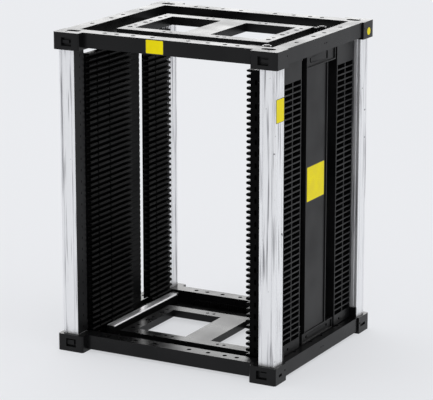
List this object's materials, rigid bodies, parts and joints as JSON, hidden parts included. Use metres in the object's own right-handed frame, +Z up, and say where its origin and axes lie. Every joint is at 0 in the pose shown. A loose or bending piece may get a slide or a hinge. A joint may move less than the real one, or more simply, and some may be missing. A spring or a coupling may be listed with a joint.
{
  "type": "pcb magazine rack",
  "caption": "Open upright rack for circuit boards: black moulded top and base frames on four grooved aluminium columns, with facing slotted walls, one of them geared to slide for board width.",
  "frame": {"origin": "centre of the footprint, on the floor under the four corner feet", "axes": "+X along the front from the fixed wall to the movable wall, +Y from the open front to the back, +Z up"},
  "size_m": [0.425, 0.37, 0.563],
  "materials": {
    "black_moulding": "satin moulded conductive plastic",
    "black_panel": "satin moulded conductive plastic",
    "aluminium": "bright anodised extrusion",
    "steel": "zinc plated",
    "gear_plastic": "moulded bearing plastic",
    "yellow_label": "vinyl film"
  },
  "bodies": {
    "frame": {"base_front_left_corner": "black_moulding", "base_front_right_corner": "black_moulding", "base_back_left_corner": "black_moulding", "base_back_right_corner": "black_moulding", "top_front_left_corner": "black_moulding", "top_front_right_corner": "black_moulding", "top_back_left_corner": "black_moulding", "top_back_right_corner": "black_moulding", "front_left_column": "aluminium", "front_right_column": "aluminium", "back_left_column": "aluminium", "back_right_column": "aluminium", "base_front_beam": "black_moulding", "base_back_beam": "black_moulding", "base_left_beam": "black_moulding", "base_right_beam": "black_moulding", "top_front_beam": "black_moulding", "top_back_beam": "black_moulding", "top_left_beam": "black_moulding", "top_right_beam": "black_moulding", "base_deck": "black_moulding", "top_deck": "black_moulding", "base_front_rack": "black_panel", "base_back_rack": "black_panel", "top_front_rack": "black_panel", "top_back_rack": "black_panel", "column_screws": "steel", "left_front_guide": "black_panel", "left_back_guide": "black_panel", "left_foot_rail": "aluminium", "left_rail_caps": "black_moulding", "left_head_rail": "black_moulding"},
    "movable_wall": {"right_front_guide": "black_panel", "right_back_guide": "black_panel", "right_front_panel": "black_panel", "right_back_panel": "black_panel", "centre_plate": "black_panel", "top_bracket": "black_panel", "base_bracket": "black_panel", "wall_top_plate": "black_moulding", "wall_base_plate": "black_moulding", "shaft_bushes": "gear_plastic", "lock_posts": "steel"},
    "front_drive": {"front_shaft": "steel", "front_base_pinion": "gear_plastic", "front_top_pinion": "gear_plastic"},
    "back_drive": {"back_shaft": "steel", "back_base_pinion": "gear_plastic", "back_top_pinion": "gear_plastic"},
    "front_lock": {"front_lock_lever": "black_moulding"},
    "back_lock": {"back_lock_lever": "black_moulding"}
  },
  "joints": [
    {"name": "wall_slide", "type": "slide", "parent": "frame", "child": "movable_wall", "axis": [1, 0, 0], "range_m": [-0.267, 0.01]},
    {"name": "front_drive_spin", "type": "hinge", "parent": "movable_wall", "child": "front_drive", "pos_m": [0.158, -0.127, 0], "axis": [0, 0, 1], "range_deg": [-50, 1280]},
    {"name": "back_drive_spin", "type": "hinge", "parent": "movable_wall", "child": "back_drive", "pos_m": [0.158, 0.127, 0], "axis": [0, 0, 1], "range_deg": [-1280, 50]},
    {"name": "front_lock_turn", "type": "hinge", "parent": "movable_wall", "child": "front_lock", "pos_m": [0.152, -0.104, 0.553], "axis": [0, 0, 1], "range_deg": [0, 90]},
    {"name": "back_lock_turn", "type": "hinge", "parent": "movable_wall", "child": "back_lock", "pos_m": [0.152, 0.104, 0.553], "axis": [0, 0, 1], "range_deg": [-90, 0]}
  ],
  "couplings": [
    {"joint": "front_drive_spin", "follows": "wall_slide", "rad_per_m": -83.333},
    {"joint": "back_drive_spin", "follows": "wall_slide", "rad_per_m": 83.333}
  ]
}
